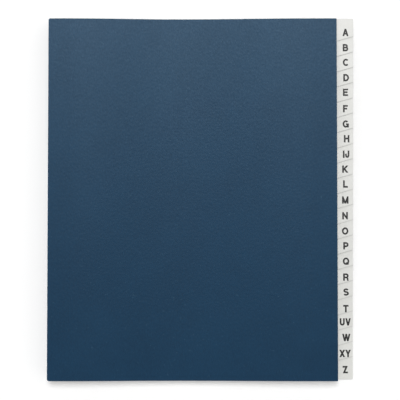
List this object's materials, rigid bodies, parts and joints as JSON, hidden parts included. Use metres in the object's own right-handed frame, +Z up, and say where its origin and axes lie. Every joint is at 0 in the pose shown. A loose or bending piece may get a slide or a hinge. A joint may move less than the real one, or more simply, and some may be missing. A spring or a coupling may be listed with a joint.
{
  "type": "alphabetical desk sorter",
  "caption": "Closed alphabetical desk sorter: board covers over a stack of index leaves on a pleated spine, lettered tabs stepped down the fore-edge.",
  "frame": {"origin": "middle of the bounding box on the face that the closed sorter rests on, which is the back cover's outer face", "axes": "+X from the spine to the index tabs, +Y to the A end, +Z up through the closed stack to the front cover"},
  "size_m": [0.2572, 0.3048, 0.0213],
  "materials": {
    "pressboard": "satin, fine fibre grain",
    "gusset_paper": "matte",
    "tag_board": "smooth, tabs film-coated"
  },
  "bodies": {
    "leaf_block": {"spine_gusset": "gusset_paper", "divider_a": "tag_board", "divider_b": "tag_board", "divider_c": "tag_board", "divider_d": "tag_board", "divider_e": "tag_board", "divider_f": "tag_board", "divider_g": "tag_board", "divider_h": "tag_board", "divider_ij": "tag_board", "divider_k": "tag_board", "divider_l": "tag_board", "divider_m": "tag_board", "divider_n": "tag_board", "divider_o": "tag_board", "divider_p": "tag_board", "divider_q": "tag_board", "divider_r": "tag_board", "divider_s": "tag_board", "divider_t": "tag_board", "divider_uv": "tag_board", "divider_w": "tag_board", "divider_xy": "tag_board", "divider_z": "tag_board"},
    "front_cover": {"front_cover": "pressboard", "front_flap": "gusset_paper"},
    "back_cover": {"back_cover": "pressboard", "back_flap": "gusset_paper"}
  },
  "joints": [
    {"name": "front_cover_hinge", "type": "hinge", "parent": "leaf_block", "child": "front_cover", "pos_m": [-0.1286, 0, 0.02046], "axis": [0, -1, 0], "range_deg": [0, 180]},
    {"name": "back_cover_hinge", "type": "hinge", "parent": "leaf_block", "child": "back_cover", "pos_m": [-0.1286, 0, 0.0008], "axis": [0, 1, 0], "range_deg": [0, 180]}
  ]
}
